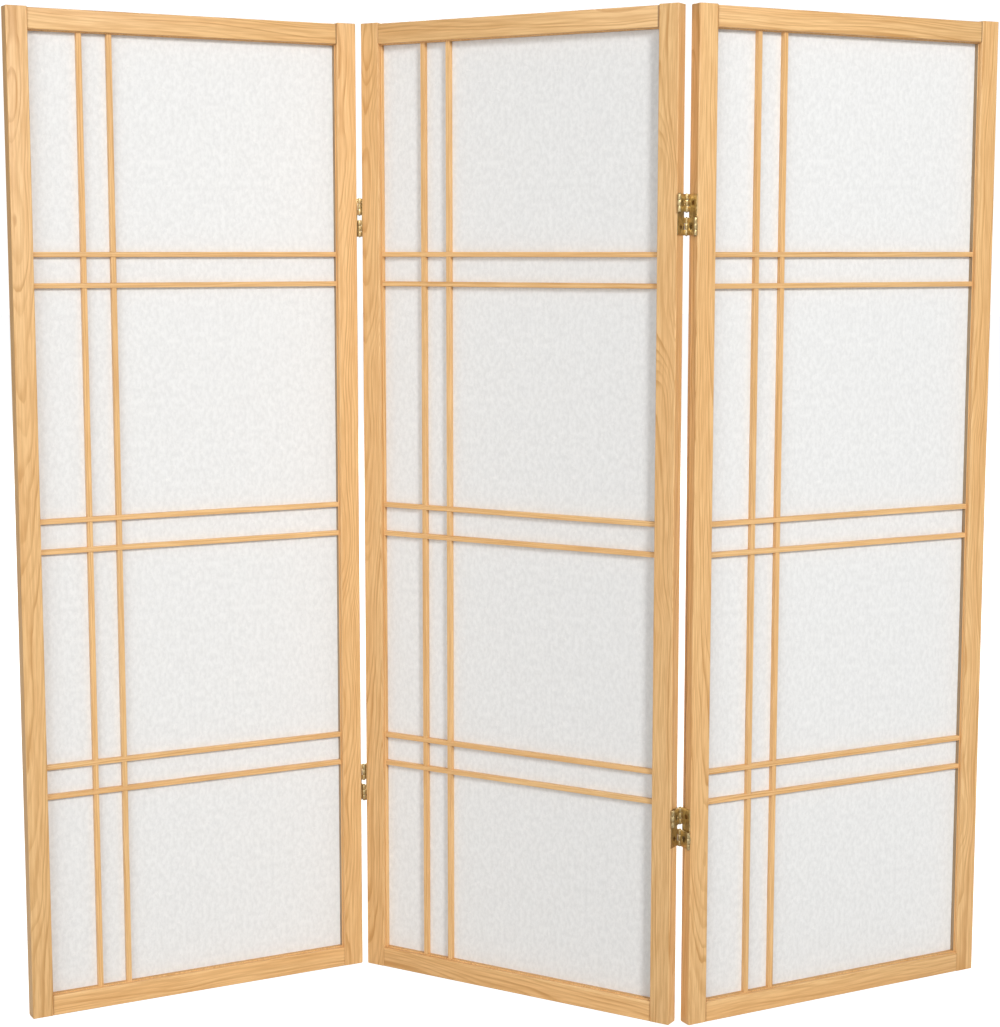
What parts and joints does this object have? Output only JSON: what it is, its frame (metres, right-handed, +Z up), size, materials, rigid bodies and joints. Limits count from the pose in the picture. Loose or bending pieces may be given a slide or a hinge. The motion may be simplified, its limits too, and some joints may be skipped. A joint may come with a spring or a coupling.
{
  "type": "folding shoji screen",
  "caption": "Free-standing folding shoji screen: paper panels in spruce frames with a thin double-cross lattice, hinged edge to edge by two-way brass hinges.",
  "frame": {"origin": "on the floor, under the middle of the middle panel, as the screen stands in its zigzag", "axes": "+Z up, the lattice side faces -Y, +X to the right seen from the front"},
  "size_m": [1.1966, 0.2444, 1.219],
  "materials": {
    "frame_wood": "clear satin lacquer on pale spruce",
    "lattice_wood": "clear satin lacquer on pale spruce strips",
    "paper": "matt white plant-fibre paper",
    "hinge_brass": "antique brass sheet",
    "pin_brass": "antique brass pins with domed heads",
    "screw_brass": "dark antique brass screws"
  },
  "bodies": {
    "middle_panel": {"middle_panel_left_stile": "frame_wood", "middle_panel_right_stile": "frame_wood", "middle_panel_top_rail": "frame_wood", "middle_panel_bottom_rail": "frame_wood", "middle_panel_lattice_border": "lattice_wood", "middle_panel_left_upright": "lattice_wood", "middle_panel_right_upright": "lattice_wood", "middle_panel_bottom_crossbars": "lattice_wood", "middle_panel_middle_crossbars": "lattice_wood", "middle_panel_top_crossbars": "lattice_wood", "middle_panel_paper": "paper", "middle_panel_screws": "screw_brass", "left_bottom_hinge_right_leaf": "hinge_brass", "left_bottom_hinge_upper_link": "hinge_brass", "left_bottom_hinge_upper_pins": "pin_brass", "left_top_hinge_right_leaf": "hinge_brass", "left_top_hinge_upper_link": "hinge_brass", "left_top_hinge_upper_pins": "pin_brass", "right_bottom_hinge_left_leaf": "hinge_brass", "right_bottom_hinge_upper_link": "hinge_brass", "right_bottom_hinge_upper_pins": "pin_brass", "right_top_hinge_left_leaf": "hinge_brass", "right_top_hinge_upper_link": "hinge_brass", "right_top_hinge_upper_pins": "pin_brass"},
    "left_panel": {"left_panel_left_stile": "frame_wood", "left_panel_right_stile": "frame_wood", "left_panel_top_rail": "frame_wood", "left_panel_bottom_rail": "frame_wood", "left_panel_lattice_border": "lattice_wood", "left_panel_left_upright": "lattice_wood", "left_panel_right_upright": "lattice_wood", "left_panel_bottom_crossbars": "lattice_wood", "left_panel_middle_crossbars": "lattice_wood", "left_panel_top_crossbars": "lattice_wood", "left_panel_paper": "paper", "left_panel_screws": "screw_brass", "left_bottom_hinge_left_leaf": "hinge_brass", "left_bottom_hinge_lower_link": "hinge_brass", "left_bottom_hinge_lower_pins": "pin_brass", "left_top_hinge_left_leaf": "hinge_brass", "left_top_hinge_lower_link": "hinge_brass", "left_top_hinge_lower_pins": "pin_brass"},
    "right_panel": {"right_panel_left_stile": "frame_wood", "right_panel_right_stile": "frame_wood", "right_panel_top_rail": "frame_wood", "right_panel_bottom_rail": "frame_wood", "right_panel_lattice_border": "lattice_wood", "right_panel_left_upright": "lattice_wood", "right_panel_right_upright": "lattice_wood", "right_panel_bottom_crossbars": "lattice_wood", "right_panel_middle_crossbars": "lattice_wood", "right_panel_top_crossbars": "lattice_wood", "right_panel_paper": "paper", "right_panel_screws": "screw_brass", "right_bottom_hinge_right_leaf": "hinge_brass", "right_bottom_hinge_lower_link": "hinge_brass", "right_bottom_hinge_lower_pins": "pin_brass", "right_top_hinge_right_leaf": "hinge_brass", "right_top_hinge_lower_link": "hinge_brass", "right_top_hinge_lower_pins": "pin_brass"}
  },
  "joints": [
    {"name": "left_fold", "type": "hinge", "parent": "middle_panel", "child": "left_panel", "pos_m": [-0.20063, 0.1035, 0.6115], "axis": [0, 0, 1], "range_deg": [-59.4, 120.6]},
    {"name": "right_fold", "type": "hinge", "parent": "middle_panel", "child": "right_panel", "pos_m": [0.20063, -0.1035, 0.6115], "axis": [0, 0, 1], "range_deg": [-59.4, 120.6]}
  ]
}
